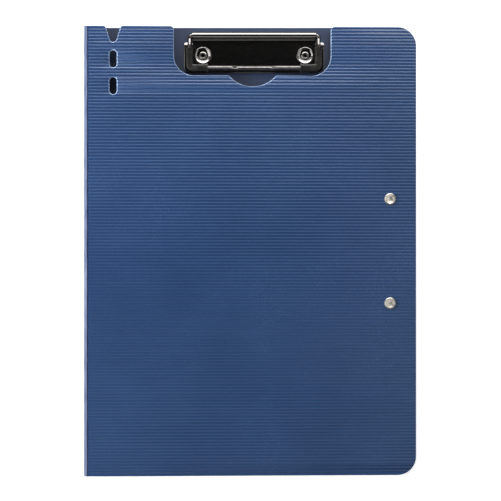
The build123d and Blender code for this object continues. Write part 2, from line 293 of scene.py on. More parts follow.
floor_finish = Finish("floor_paper", Roughness=0.9, Emission_Color=WHITE)
shown_white = floor_finish.rays("Is Camera Ray", "Is Transmission Ray")
paper = floor_finish.mix(floor_finish.rays("Is Glossy Ray"), LIT_PAPER, DARK_PAPER)
floor_finish.set(Emission_Strength=shown_white * FLOOR_GLOW, Base_Color=paper)
floor_mesh = bmesh.new()
bmesh.ops.create_grid(floor_mesh, x_segments=1, y_segments=1, size=FLOOR_SIDE / 2)
bmesh.ops.translate(floor_mesh, verts=floor_mesh.verts, vec=(0, 0, cad_low.z - FLOOR_DROP))
floor = new_object(floor_mesh, "floor", [floor_finish.material])
floor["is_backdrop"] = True

world = bpy.data.worlds.new("studio")
world.use_nodes = True
bpy.context.scene.world = world
sky = Recipe(world.node_tree)
direction = sky.add("ShaderNodeTexCoord", {}, {}, "Generated")
to_right, to_clip, upward = (
    sky.add("ShaderNodeSeparateXYZ", {}, {"Vector": direction}, axis) for axis in "XYZ"
)
low_down = 1.0 - upward.band(*WALL_FADE)
wall = (0.0 - to_clip).clamp() * FRONT_GLOW + (0.0 - to_right).clamp() * LEFT_GLOW + HORIZON_GLOW
shown_in_gloss = 1.0 - sky.rays("Is Glossy Ray") * (1 - GLOSS_SHARE)
light_level = low_down * (wall * shown_in_gloss) + OVERHEAD_GLOW
light_level = light_level.math("MAXIMUM", sky.rays("Is Camera Ray"))
background = world.node_tree.nodes["Background"]
background.inputs["Color"].default_value = WHITE
world.node_tree.links.new(light_level.socket, background.inputs["Strength"])
print("floor", floor.name, "world", world.name)

# %% [markdown]
# ## Lamps
# Gloss needs a far brighter lamp than the colours do, so each lamp does one of the two: it lights the
# colours, or it shows only in reflections. Three light the colours. One is low beyond the clip end, so
# that it grazes the ribs, a stronger one is at the left, and a weak one fills in at the right. Five only
# show. Two of them are beyond the clip end, for the tube's white highlight and the sheen on the upper
# part of the cover. The three in front and at the sides light the wire, the rivets and the lower part.

# %% Lamps
KEY_SIZE = (0.6, 0.4)
END_SIZE = (1.0, 0.55)
SIDE_SIZE = (0.8, 0.5)
AT_CLIP = (0.02, 0.15, 0.0)
ABOVE_MIDDLE = (0.0, 0.03, 0.0)
BELOW_MIDDLE = (0.0, -0.05, 0.0)


def softbox(name, lights, place, target, size, power):
    """Rectangular lamp at a place, turned towards a target, for the colours or for the gloss."""
    lamp = bpy.data.lights.new(name, "AREA")
    lamp.shape = "RECTANGLE"
    lamp.size, lamp.size_y = size
    lamp.energy = power
    holder = bpy.data.objects.new(name, lamp)
    bpy.context.scene.collection.objects.link(holder)
    holder.location = place
    holder.rotation_mode = "QUATERNION"
    holder.rotation_quaternion = (Vector(target) - Vector(place)).to_track_quat("-Z", "Y")
    holder.visible_diffuse = lights == "colours"
    holder.visible_glossy = lights == "gloss"


for lamp_values in (
    ("key_top", "colours", (-0.35, 1.0, 0.3), ABOVE_MIDDLE, KEY_SIZE, 5.3),
    ("key_left", "colours", (-0.9, 0.0, 0.4), (0.0, 0.0, 0.0), KEY_SIZE, 14.2),
    ("fill_right", "colours", (0.35, 0.45, 0.35), ABOVE_MIDDLE, KEY_SIZE, 1.9),
    ("gloss_top", "gloss", (0.05, 0.54, 0.515), AT_CLIP, END_SIZE, 1.9),
    ("gloss_low", "gloss", (0.05, 0.7, 0.4), AT_CLIP, END_SIZE, 10.0),
    ("gloss_front", "gloss", (0.0, -0.55, 0.7), (0.0, -0.15, 0.0), (1.0, 0.35), 1.15),
    ("gloss_left", "gloss", (-0.55, -0.1, 0.6), BELOW_MIDDLE, SIDE_SIZE, 3.8),
    ("gloss_right", "gloss", (0.55, -0.1, 0.6), BELOW_MIDDLE, SIDE_SIZE, 1.5),
):
    softbox(*lamp_values)
print("lamps", len(bpy.data.lights))

# %% [markdown]
# ## Finishes of the plastic sheet
# The sheet is polypropylene, pressed between rollers: fine ribs outside, plain and matte inside. The
# ribs themselves are modelled. The finish adds what is smaller: a sandy grain that catches the light,
# slow changes of colour, and painted shade in the grooves. Where the steel rule cut the sheet, and where
# the crease stretched it, the plastic turns pale, so both get a paler finish of their own, which also
# holds a painted highlight where these edges catch the light. The inner face is painted darker than the
# outer one, as the shade inside the folder.

# %% Plastic finishes
RIB_PITCH = 2.24 * MM


def outer_plastic():
    """Ribbed outer face: satin dark blue with a sandy grain."""
    finish = Finish("sheet_outer", IOR=1.49)
    grain = finish.noise(1200.0, detail=3.0, roughness=0.65)
    cloud = finish.noise(14.0, detail=3.0)
    streak = finish.noise(60.0, detail=2.0, stretch=(0.15, 1.0, 0.15))
    phase = finish.along("Y") * (2 * math.pi / RIB_PITCH)
    # Painted shade: each rib groove is darkened a little towards its bottom, where shade falls.
    groove_shade = (0.5 - phase.math("COSINE") * 0.5).power(1.5)
    shade = finish.mix(cloud.band(0.3, 0.7), paint(35, 65, 108), paint(41, 72, 117))
    sparkle = grain.band(0.35, 0.7) * 0.30 + streak.band(0.4, 0.7) * 0.12
    shade = finish.mix(sparkle, shade, paint(53, 84, 130))
    shade = finish.mix(groove_shade * 0.22, shade, paint(31, 53, 92))
    finish.set(Base_Color=shade, Roughness=(grain * 0.10 + cloud * 0.05 + 0.18))
    return finish.bump(grain, 0.026 * MM).material


def inner_plastic():
    """Smooth matte inner face, painted darker than the outer face as the shade inside the folder."""
    finish = Finish("sheet_inner", IOR=1.49)
    grain = finish.noise(2200.0, detail=2.0)
    cloud = finish.noise(9.0, detail=4.0)
    # Painted shade: these colours are darker than the outer face's, for the shade inside the closed folder.
    shade = finish.mix(cloud.band(0.3, 0.7), paint(27, 44, 76), paint(34, 52, 85))
    shade = finish.mix(grain.band(0.4, 0.7) * 0.15, shade, paint(50, 66, 94))
    finish.set(Base_Color=shade, Roughness=(grain * 0.12 + 0.44))
    return finish.bump(grain, 0.015 * MM).material


def cut_plastic():
    """Edge left by the cutting rule: paler, partly from stress whitening and partly as a painted highlight,
    with fine upright drag marks.
    """
    finish = Finish("sheet_cut_edge", IOR=1.49)
    drag = finish.noise(1800.0, detail=2.0, stretch=(1.0, 1.0, 0.12))
    cloud = finish.noise(120.0, detail=2.0)
    pale = (drag * 0.6 + cloud * 0.5).band(0.3, 0.8)
    # The two pale colours carry a painted highlight along the cut edges as well as the whitening.
    shade = finish.mix(pale, paint(124, 152, 196), paint(172, 196, 228))
    finish.set(Base_Color=shade, Roughness=(drag * 0.2 + 0.45))
    return finish.bump(drag, 0.03 * MM).material


def crease_plastic():
    """Creased strip: smooth and shiny, and paler, partly where the bend has stretched it and partly as a
    painted highlight on the fold.
    """
    finish = Finish("sheet_crease", IOR=1.49)
    pull = finish.noise(700.0, detail=3.0, stretch=(1.0, 0.12, 1.0))
    cloud = finish.noise(40.0, detail=2.0)
    pale = (pull * 0.7 + cloud * 0.4).band(0.35, 0.8)
    # The paler colours hold a painted highlight along the fold as well as the stretch whitening.
    shade = finish.mix(pale, paint(72, 88, 122), paint(116, 128, 158))
    finish.set(Base_Color=shade, Roughness=(pull * 0.15 + 0.22))
    return finish.bump(pull, 0.01 * MM).material


OUTER = outer_plastic()
INNER = inner_plastic()
CUT = cut_plastic()
CREASE = crease_plastic()
print("plastic finishes", [m.name for m in (OUTER, INNER, CUT, CREASE)])

# %% [markdown]
# ## Helpers that make pieces
# Every piece ends the same way: its mesh becomes an object at the origin, smooth shading is split at
# sharp edges, the piece is tied to the body it moves with, and the imported nodes it stands for are
# hidden. The other helpers are the steps that several pieces share.


# %% Helpers for meshes
WELD = 1e-7
RIM_ANGLE = math.radians(60)
OUTER_SLOT, CUT_SLOT, INNER_SLOT = 0, 1, 2


def solid_object(bm, name, materials=()):
    """Object of a closed mesh, with its faces turned outwards."""
    bmesh.ops.recalc_face_normals(bm, faces=bm.faces)
    return new_object(bm, name, materials)


def finish_piece(bm, name, materials, body=None, stands_for=(), place=None, sharp=34):
    """Object from a bmesh, put in place, shaded and named."""
    if place is not None:
        bmesh.ops.transform(bm, matrix=place, verts=bm.verts)
    return settle(solid_object(bm, name, materials), body, stands_for, sharp)


def settle(piece, body, stands_for=(), sharp=34):
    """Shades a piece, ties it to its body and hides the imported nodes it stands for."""
    mesh = piece.data
    mesh.shade_smooth()
    mesh.set_sharp_from_angle(angle=math.radians(sharp))
    if body:
        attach(piece, body)
    if stands_for:
        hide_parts(*stands_for)
    return piece


def cut(piece, tool, operation="DIFFERENCE"):
    """Boolean of a piece with a tool object, applied, and the tool thrown away."""
    modifier = piece.modifiers.new("cut", "BOOLEAN")
    modifier.operation = operation
    modifier.object = tool
    modifier.solver = "EXACT"
    modifier.material_mode = "INDEX"
    bpy.context.view_layer.update()
    solved = piece.evaluated_get(bpy.context.evaluated_depsgraph_get())
    mesh = bpy.data.meshes.new_from_object(solved)
    piece.modifiers.clear()
    old_mesh = piece.data
    piece.data = mesh
    bpy.data.meshes.remove(old_mesh)
    bpy.data.objects.remove(tool)
    return piece


def arc_points(centre, radius, start, end, steps):
    """Points on an arc between two angles in degrees."""
    angles = [math.radians(start + (end - start) * i / steps) for i in range(steps + 1)]
    return [(centre[0] + radius * math.cos(a), centre[1] + radius * math.sin(a)) for a in angles]


def verts_in(geom):
    """The points in what an operator gives back."""
    return [item for item in geom if isinstance(item, bmesh.types.BMVert)]


def edges_in(geom):
    """The edges in what an operator gives back."""
    return [item for item in geom if isinstance(item, bmesh.types.BMEdge)]


def extruded(corners, way, slot=OUTER_SLOT):
    """Prism: a face on the corners, extruded by a vector."""
    bm = bmesh.new()
    base = bm.faces.new([bm.verts.new(corner) for corner in corners])
    pushed = bmesh.ops.extrude_face_region(bm, geom=[base], use_keep_orig=True)["geom"]
    bmesh.ops.translate(bm, verts=verts_in(pushed), vec=way)
    for face in bm.faces:
        face.material_index = slot
    return bm


def closed_loop(bm, places):
    """Points joined in a ring of edges."""
    verts = [bm.verts.new(place) for place in places]
    return verts, [bm.edges.new((a, b)) for a, b in zip(verts, verts[1:] + verts[:1])]


def close_ends(bm):
    """Fills the open ends of a tube of faces."""
    bmesh.ops.holes_fill(bm, edges=[edge for edge in bm.edges if edge.is_boundary], sides=0)


def slice_across(bm, place, normal):
    """Splits every face that a plane crosses."""
    geom = bm.faces[:] + bm.edges[:] + bm.verts[:]
    bmesh.ops.bisect_plane(bm, geom=geom, plane_co=place, plane_no=normal)


def rim_edges(bm):
    """Edges where two faces meet at a clear corner."""
    return [e for e in bm.edges if len(e.link_faces) == 2 and e.calc_face_angle() > RIM_ANGLE]


def flared_tool(outline_at, heights):
    """Cutter through a sheet. Each height has its own outline, bridged to the one before."""
    bm = bmesh.new()
    rings = []
    for height, grow in heights:
        rings.append(closed_loop(bm, [(x, y, height) for x, y in outline_at(grow)])[1])
    for lower, upper in zip(rings, rings[1:]):
        bmesh.ops.bridge_loops(bm, edges=lower + upper)
    close_ends(bm)
    for face in bm.faces:
        face.material_index = CUT_SLOT
    return solid_object(bm, "tool")


def drill(place, radius, depth, segments, slot=OUTER_SLOT, lying=False):
    """Round cutter with its middle at a place, upright or lying along X."""
    bm = bmesh.new()
    size = {"radius1": radius, "radius2": radius, "depth": depth}
    bmesh.ops.create_cone(bm, cap_ends=True, segments=segments, **size)
    if lying:
        bmesh.ops.rotate(bm, matrix=Matrix.Rotation(math.pi / 2, 3, "Y"), verts=bm.verts)
    bmesh.ops.translate(bm, vec=place, verts=bm.verts)
    for face in bm.faces:
        face.material_index = slot
    return solid_object(bm, "drill")


print("helpers for meshes ready")

# %% [markdown]
# ## The ribbed panels
# A roller presses the ribs into the whole sheet first, and a steel rule then cuts the outline through
# them. The model is made in the same order. A slab is sliced along every rib by bisect_plane and its
# outer points are lowered to a wave. A "cookie" prism with the cut outline and slightly broken edges is
# then intersected with it, and its walls bring the pale cut finish with them. This cut can fail without
# an error: with ribs 0.17 mm deep or less the cover comes out with no faces at all. So after any change
# to the ribs or the outline, look at the numbers of faces that the cells below print.

# %% Ribbed slab and cut outline
RIB_DEPTH = 0.22 * MM
RIB_CUTS = 6
GROOVE_WIDTH = 0.95 * MM
GROOVE_DEPTH = 0.55 * MM
GROOVE_FLOOR = 0.55
OUTLINE_BREAK = 0.30 * MM
WINDOW_BREAK = 0.85 * MM
BREAK_FADE = 2.5 * MM
BREAK_DELAY = 0.1
COOKIE_MARGIN = 0.05 * MM
OVER = 1.0 * MM
INNER_FACE = INSET - SHEET
FLAT = 0.01 * MM
SHEET_FINISHES = [OUTER, CUT, INNER]


def rim_break(place):
    """How far the outer rim is rounded: little along the sheet's own edges, more round the cut-outs."""
    depth = HALF_LENGTH - abs(place.y)
    inward = min(depth, COVER_REACH - place.x)
    share = min(1.0, max(0.0, inward / BREAK_FADE - BREAK_DELAY))
    return OUTLINE_BREAK + (WINDOW_BREAK - OUTLINE_BREAK) * share


def ribbed_slab(start, end, grooves):
    """Slab from start to end along X with ribs on its outer face and a pressed groove by each crease."""
    bm = bmesh.new()
    centre = Vector(((start + end) / 2, 0, INSET - SHEET / 2))
    bmesh.ops.create_cube(bm, size=1.0)
    bmesh.ops.scale(bm, vec=(end - start, 2 * HALF_LENGTH + 2 * OVER, SHEET), verts=bm.verts)
    bmesh.ops.translate(bm, vec=centre, verts=bm.verts)
    for edge_x, inward in grooves:
        for share in (GROOVE_FLOOR, 1.0):
            slice_across(bm, (edge_x + inward * GROOVE_WIDTH * share, 0, 0), (1, 0, 0))
    step = RIB_PITCH / RIB_CUTS
    count = math.floor((HALF_LENGTH + OVER / 2) / step)
    for i in range(-count, count + 1):
        slice_across(bm, (0, i * step, 0), (0, 1, 0))
    for face in bm.faces:
        facing = face.normal.z
        face.material_index = OUTER_SLOT if facing > 0.5 else INNER_SLOT if facing < -0.5 else CUT_SLOT
    for vert in bm.verts:
        if vert.co.z < INSET - FLAT:
            continue
        away = min(((vert.co.x - edge_x) * inward for edge_x, inward in grooves), default=1.0)
        if away < GROOVE_WIDTH * GROOVE_FLOOR + FLAT:
            vert.co.z -= GROOVE_DEPTH
        elif away > GROOVE_WIDTH - FLAT:
            wave = 0.5 - 0.5 * math.cos(2 * math.pi * vert.co.y / RIB_PITCH)
            vert.co.z -= RIB_DEPTH * wave
    return bm


def cookie(outline):
    """Prism with the cut outline. Its rims are broken by a bevel whose weight says how far at each edge."""
    low, high = INNER_FACE - COOKIE_MARGIN, INSET + COOKIE_MARGIN
    bm = extruded([(x, y, low) for x, y in outline], (0, 0, high - low), CUT_SLOT)
    weights = bm.edges.layers.float.new("bevel_weight_edge")
    for edge in bm.edges:
        first, second = (vert.co for vert in edge.verts)
        if abs(first.z - second.z) < WELD:
            wide = rim_break(first.lerp(second, 0.5)) if first.z > 0 else OUTLINE_BREAK
            edge[weights] = (wide + COOKIE_MARGIN) / (WINDOW_BREAK + COOKIE_MARGIN)
    tool = solid_object(bm, "cookie")
    breaking = tool.modifiers.new("rim", "BEVEL")
    breaking.limit_method = "WEIGHT"
    breaking.width = WINDOW_BREAK + COOKIE_MARGIN
    breaking.segments = 3
    breaking.use_clamp_overlap = False
    return tool


def panel_piece(name, start, end, outline, grooves):
    """Ribbed slab cut to its outline, still in its own flat coordinates."""
    slab = solid_object(ribbed_slab(start, end, grooves), name, SHEET_FINISHES)
    return cut(slab, cookie(outline), "INTERSECT")


def put_in_place(piece, matrix):
    """Moves the mesh itself, so that the object stays at the origin."""
    piece.data.transform(matrix)
    piece.data.update()


print("ribs along the folder", round(2 * HALF_LENGTH / RIB_PITCH))

# %% [markdown]
# ### Outline of the cover
# The outline is walked once round. Each round stretch is an arc: the free corners, the lips and lower
# corners of the clip window, the thumb cut-out, and the tip of the V-shaped pen notch.

# %% Outline values
CORNER_RADIUS = 13.0 * MM
WINDOW_LOW = HALF_LENGTH - 34.5 * MM
WINDOW_HALF = 55.0 * MM
WINDOW_X = 1.4 * MM
WINDOW_CORNER = 14.0 * MM
WINDOW_LIP = 2.8 * MM
THUMB_HALF = 16.5 * MM
THUMB_DEPTH = 7.6 * MM
THUMB_RADIUS = (THUMB_HALF**2 + THUMB_DEPTH**2) / (2 * THUMB_DEPTH)
PEN_X = cad_low.x + 20.5 * MM
NOTCH_HALF = 5.3 * MM
NOTCH_DEPTH = 11.3 * MM
NOTCH_TIP = 2.5 * MM
NOTCH_LIP = 1.5 * MM
SLOT_HALF_WIDTH = 2.55 * MM
SLOT_HALF_LENGTH = 5.95 * MM
SLOT_UPPER = TOP_EDGE - 23.1 * MM
SLOT_PITCH = 18.8 * MM


def cover_u(x):
    """Distance from the front fold, along the sloping cover, of a place seen at x from above."""
    return (x - FRONT_FOLD.x) / math.cos(COVER_SLOPE)


def notch_points():
    """Pen notch, walked from right to left along the top edge."""
    centre_y = TOP_EDGE - NOTCH_DEPTH + NOTCH_TIP
    rise = TOP_EDGE - centre_y
    touch = math.atan2(rise, NOTCH_HALF) - math.acos(NOTCH_TIP / math.hypot(NOTCH_HALF, rise))
    lean = math.degrees(touch)
    middle = cover_u(PEN_X)
    right_lip = [
        (middle + NOTCH_HALF + NOTCH_LIP, TOP_EDGE),
        (middle + NOTCH_HALF + NOTCH_LIP * 0.3, TOP_EDGE - 0.3 * MM),
        (middle + NOTCH_HALF - NOTCH_LIP * 0.25, TOP_EDGE - NOTCH_LIP * 1.1),
    ]
    tip = arc_points((middle, centre_y), NOTCH_TIP, lean, -180 - lean, 16)
    left_lip = [(2 * middle - x, y) for x, y in reversed(right_lip)]
    return right_lip + tip + left_lip


def window_points():
    """Clip window and thumb cut-out, walked from right to left along the top edge."""
    middle = cover_u(WINDOW_X)
    lip_y = TOP_EDGE - WINDOW_LIP
    corner = (middle + WINDOW_HALF - WINDOW_CORNER, WINDOW_LOW + WINDOW_CORNER)
    right = arc_points((middle + WINDOW_HALF + WINDOW_LIP, lip_y), WINDOW_LIP, 90, 180, 8)
    right += arc_points(corner, WINDOW_CORNER, 0, -90, 20)
    half_turn = math.degrees(math.asin(THUMB_HALF / THUMB_RADIUS))
    thumb_centre = (middle, WINDOW_LOW - THUMB_DEPTH + THUMB_RADIUS)
    thumb = arc_points(thumb_centre, THUMB_RADIUS, -90 + half_turn, -90 - half_turn, 28)
    left = [(2 * middle - x, y) for x, y in reversed(right)]
    return right + thumb + left


def free_corners(end):
    """The two round corners of a panel's free side, walked from the bottom edge to the top edge."""
    low, high = -HALF_LENGTH + CORNER_RADIUS, HALF_LENGTH - CORNER_RADIUS
    bottom_corner = arc_points((end - CORNER_RADIUS, low), CORNER_RADIUS, -90, 0, 18)
    return bottom_corner + arc_points((end - CORNER_RADIUS, high), CORNER_RADIUS, 0, 90, 18)


def fold_side():
    """The side at the fold, walked from top to bottom, a little wide of the slab."""
    return [(PANEL_START - OVER, HALF_LENGTH), (PANEL_START - OVER, -HALF_LENGTH)]


def cover_outline():
    """Whole outline of the cover in its own flat coordinates."""
    return free_corners(COVER_REACH) + window_points() + notch_points() + fold_side()


def stadium(middle_x, middle_y):
    """Function that gives a slot's outline, grown by an amount."""

    def outline(grow):
        radius = SLOT_HALF_WIDTH + grow
        run = SLOT_HALF_LENGTH - SLOT_HALF_WIDTH
        upper = arc_points((middle_x, middle_y + run), radius, 0, 180, 14)
        lower = arc_points((middle_x, middle_y - run), radius, 180, 360, 14)
        return upper + lower

    return outline


print("points in the cover's outline", len(cover_outline()))

# %% Front cover
fold_groove = (PANEL_START, 1)
cover = panel_piece(
    "front_cover_sheet", PANEL_START, COVER_REACH + OVER, cover_outline(), [fold_groove]
)
# Each height in the slot's cutter, with how far the outline has grown there.
slot_heights = [
    (INNER_FACE - OVER, OUTLINE_BREAK + OVER),
    (INNER_FACE + OUTLINE_BREAK, 0.0),
    (INSET - WINDOW_BREAK, 0.0),
    (INSET - WINDOW_BREAK * 0.55, WINDOW_BREAK * 0.15),
    (INSET - WINDOW_BREAK * 0.15, WINDOW_BREAK * 0.55),
    (INSET + OVER, WINDOW_BREAK * 0.7 + OVER * 2),
]
for slot_y in (SLOT_UPPER, SLOT_UPPER - SLOT_PITCH):
    cut(cover, flared_tool(stadium(cover_u(PEN_X), slot_y), slot_heights))
put_in_place(cover, COVER)
settle(cover, "cover", ["front_cover"])
print("cover faces", len(cover.data.polygons))

# %% [markdown]
# ### Back panel and spine
# The back panel is the same ribbed sheet turned over, so its ribs are on the side that lies on the desk
# and the smooth side looks up through the window. Two round recesses sink the rivet heads. The spine is
# a strip of the sheet between the two creases.

# %% Back panel and spine
washer_low, washer_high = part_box("clip_washer_left")
RECESS_GAP = 0.3 * MM
RECESS_RADIUS = (washer_high.x - washer_low.x) / 2 + RECESS_GAP
RECESS_TOP = washer_high.z
RECESS_SEGMENTS = 48
BARREL_HOLE = 2.2 * MM
RIVETS = {side: sum(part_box("clip_rivet_" + side), Vector()) / 2 for side in ("left", "right")}


def back_outline():
    """Outline of the back panel: the cover's without its window and notch."""
    return free_corners(BACK_REACH) + fold_side()


back = panel_piece("back_panel_sheet", PANEL_START, BACK_REACH + OVER, back_outline(), [fold_groove])
put_in_place(back, BACK)
for centre in RIVETS.values():
    for radius, depth in ((RECESS_RADIUS, 2 * RECESS_TOP), (BARREL_HOLE, 3 * BOARD_TOP)):
        cut(back, drill((centre.x, centre.y, 0), radius, depth, RECESS_SEGMENTS, CUT_SLOT))
settle(back, "back", ["back_panel"])

spine_end = SPINE_SPAN - PANEL_START
spine_outline = [
    (PANEL_START - OVER, -HALF_LENGTH),
    (spine_end + OVER, -HALF_LENGTH),
    (spine_end + OVER, HALF_LENGTH),
    (PANEL_START - OVER, HALF_LENGTH),
]
spine_grooves = [fold_groove, (spine_end, -1)]
spine = panel_piece("spine_sheet", PANEL_START, spine_end, spine_outline, spine_grooves)
put_in_place(spine, SPINE)
settle(spine, "spine", ["spine_panel"])
print("back faces", len(back.data.polygons), "spine faces", len(spine.data.polygons))

# %% [markdown]
# ## The creases
# A hot rule presses each crease thin, and the sheet then bends there in a quarter round. Each strip is
# spun about its own centre line from a flat rectangle.

# %% Creased strips
CREASE_THICKNESS = 0.7 * MM
CREASE_STEPS = 18
CREASE_BREAK = 0.12 * MM


def crease_piece(name, centre, start_direction, turn):
    """Curved strip spun about an axis along Y, from one panel's edge to the next one's."""
    bm = bmesh.new()
    outer = centre + start_direction * FOLD_RADIUS
    inner = centre + start_direction * (FOLD_RADIUS - CREASE_THICKNESS)
    section = [
        (outer.x, -HALF_LENGTH, outer.z),
        (outer.x, HALF_LENGTH, outer.z),
        (inner.x, HALF_LENGTH, inner.z),
        (inner.x, -HALF_LENGTH, inner.z),
    ]
    corners, edges = closed_loop(bm, section)
    turning = {"cent": centre, "axis": (0, 1, 0), "angle": turn, "steps": CREASE_STEPS}
    bmesh.ops.spin(bm, geom=corners + edges, use_duplicate=False, **turning)
    close_ends(bm)
    rims = rim_edges(bm)
    bmesh.ops.bevel(
        bm, geom=rims, offset=CREASE_BREAK, segments=2, profile=0.5, affect="EDGES", material=-1
    )
    strip = finish_piece(bm, name, [CREASE])
    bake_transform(strip)


quarter = math.pi / 2
rear_centre = Vector((cad_low.x + FOLD_RADIUS, 0, cad_low.z + FOLD_RADIUS))
crease_piece("rear_crease", rear_centre, Vector((0, 0, -1)), quarter)
front_drop = PANEL_START * (1 + math.sin(COVER_SLOPE)) / math.cos(COVER_SLOPE)
front_centre = Vector((cad_low.x + FOLD_RADIUS, 0, FRONT_FOLD.z - front_drop))
front_turn = quarter + COVER_SLOPE
crease_piece(
    "front_crease", front_centre, Vector((-1, 0, 0)), front_turn
)
print("creases made with radius mm", round(FOLD_RADIUS / MM, 2))

# %% [markdown]
# ## Finishes of the clip
# The base plate is sheet steel with bright black plating, which lies in a faint orange peel and has tiny
# dust specks. The wire is plated too, a little darker, and shows fine lines along the way it was drawn.
# The clip's rivets are the same dark metal, but duller, and their bores are painted nearly black, as the
# shade deep in the holes. The pocket's rivets are pale nickel, the washers are zinc, and the grips are
# black moulded plastic.


# %% Clip finishes
def black_plating():
    """Bright black plating on steel, with faint orange peel and dust specks."""
    finish = Finish("black_plating", Metallic=1.0)
    peel = finish.noise(420.0, detail=1.0)
    speck = finish.noise(2600.0, detail=1.0)
    shade = finish.mix(speck.band(0.62, 0.74), (0.22, 0.21, 0.205, 1.0), (0.28, 0.265, 0.26, 1.0))
    finish.set(Base_Color=shade, Roughness=(peel * 0.05 + speck.band(0.55, 0.75) * 0.08 + 0.07))
    return finish.bump(peel, 0.006 * MM).material


def nickel(name, tint, dull, lines, metallic=1.0):
    """Plated metal. Lines stretches the scratches along one axis."""
    finish = Finish(name, Metallic=metallic)
    scratch = finish.noise(2400.0, detail=3.0, stretch=lines)
    stain = finish.noise(500.0, detail=2.0)
    darker = tuple(level * 0.55 for level in tint[:3]) + (1.0,)
    shade = finish.mix((scratch * 0.5 + stain * 0.5).band(0.35, 0.72), darker, tint)
    finish.set(Base_Color=shade, Roughness=(scratch * 0.6 + stain * 0.3 + 0.6) * dull)
    return finish.bump(scratch, dull * 0.014 * MM).material


def black_moulded():
    """Black moulded plastic with a faint spark-eroded texture."""
    finish = Finish("black_moulded", IOR=1.5)
    spark = finish.noise(3200.0, detail=2.0)
    rub = finish.noise(220.0, detail=2.0)
    shade = finish.mix(rub.band(0.45, 0.75), paint(28, 27, 26), paint(47, 45, 43))
    finish.set(Base_Color=shade, Roughness=(spark * 0.12 + rub * 0.08 + 0.18))
    return finish.bump(spark, 0.012 * MM).material


PLATING = black_plating()
WIRE_METAL = nickel("wire_nickel", (0.20, 0.19, 0.185, 1.0), 0.08, (1.0, 0.2, 1.0))
RIVET_METAL = nickel("rivet_nickel", (0.74, 0.70, 0.64, 1.0), 0.28, (1.0, 1.0, 0.3), metallic=0.85)
CLIP_RIVET_METAL = nickel("clip_rivet_nickel", (0.28, 0.265, 0.25, 1.0), 0.16, (1.0, 1.0, 0.3))
# Near-black finish for the rivet bores: painted shade in the holes.
BORE_SHADE_METAL = nickel("rivet_bore_painted_shade", (0.03, 0.03, 0.03, 1.0), 0.5, (1.0, 1.0, 0.3))
WASHER_METAL = nickel("washer_zinc", (0.52, 0.53, 0.54, 1.0), 0.32, (0.4, 1.0, 1.0))
MOULDED = black_moulded()
print("clip finishes ready")

# %% [markdown]
# ## The pressed base plate
# The plate is blanked from sheet, its rim is folded down all round, and two shallow cones are pressed in
# for the rivets. The model starts from the outline of the blank, which is extruded. The rim is bevelled
# round, and the ears beside the tube are bent down. The rivet seats are turned, because each is a round
# dish. Along the clip end the sheet rises in a soft curve and is rolled into the tube that the wire
# turns in.

# %% Base plate values
PLATE_LOW, PLATE_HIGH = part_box("clip_base_plate")
CLIP_X = BAIL_AXIS.x
PLATE_HALF = (PLATE_HIGH.x - PLATE_LOW.x) / 2
PLATE_BOTTOM_Y = PLATE_LOW.y
PLATE_TOP_Y = TOP_EDGE - 10.2 * MM
PLATE_TOP = BOARD_TOP + 1.4 * MM
GAUGE = 0.9 * MM
PLATE_EDGE_ROUND = 0.5 * MM
TUBE_RADIUS = PLATE_HIGH.y - BAIL_AXIS.y
TUBE_BORE = TUBE_RADIUS - GAUGE
TUBE_HALF = 43.3 * MM
SEAT_RADIUS = 5.7 * MM
SEAT_FLOOR_RADIUS = 3.4 * MM
SEAT_FLOOR = BOARD_TOP + GAUGE
BARREL_RADIUS = 2.1 * MM
LOW_CORNER = 5.0 * MM
HIGH_CORNER = 2.0 * MM
EAR_BEND = 2.6 * MM
EAR_DROP = 0.8 * MM
EAR_SLICES = (0.35, 0.55, 0.78, 1.0)
CLEARANCE = 0.1 * MM
SEAT_HOLE_RADIUS = SEAT_RADIUS + 0.15 * MM
SEAT_HOLE_DEPTH = 6 * MM
LONGEST_ROUND = 0.45
ROUND_STEPS = 4
SEAT_ROUND = 0.4 * MM


def turned(profile, steps=64):
    """Closed ring or disc: a profile of radius and height pairs spun once about Z."""
    bm = bmesh.new()
    verts = [bm.verts.new((radius, 0, height)) for radius, height in profile]
    edges = [bm.edges.new((a, b)) for a, b in zip(verts, verts[1:])]
    if profile[0][0] > WELD:
        edges.append(bm.edges.new((verts[-1], verts[0])))
    spin = {"cent": (0, 0, 0), "axis": (0, 0, 1), "angle": 2 * math.pi, "steps": steps, "use_merge": True}
    bmesh.ops.spin(bm, geom=verts + edges, use_duplicate=False, **spin)
    bmesh.ops.remove_doubles(bm, verts=bm.verts, dist=WELD)
    return bm


def rounded(points, radius):
    """Profile with its inner corners rounded, for a turned piece. Points are radius and height pairs."""
    out = [points[0]]
    for before, corner, after in zip(points, points[1:], points[2:]):
        corner_v = Vector(corner)
        first = Vector(before) - corner_v
        second = Vector(after) - corner_v
        reach = min(radius, first.length * LONGEST_ROUND, second.length * LONGEST_ROUND)
        start = corner_v + first.normalized() * reach
        end = corner_v + second.normalized() * reach
        for i in range(ROUND_STEPS + 1):
            share = i / ROUND_STEPS
            point = start.lerp(corner_v, share).lerp(corner_v.lerp(end, share), share)
            out.append(tuple(point))
    out.append(points[-1])
    return out


# %% Base plate
def plate_outline():
    """Outline of the blank, with larger corners at the edge that the wire bar lies over."""
    right, left = CLIP_X + PLATE_HALF, CLIP_X - PLATE_HALF
    low, high = PLATE_BOTTOM_Y, PLATE_TOP_Y
    points = arc_points((right - LOW_CORNER, low + LOW_CORNER), LOW_CORNER, -90, 0, 12)
    points += arc_points((right - HIGH_CORNER, high - HIGH_CORNER), HIGH_CORNER, 0, 90, 8)
    points += arc_points((left + HIGH_CORNER, high - HIGH_CORNER), HIGH_CORNER, 90, 180, 8)
    return points + arc_points((left + LOW_CORNER, low + LOW_CORNER), LOW_CORNER, 180, 270, 12)


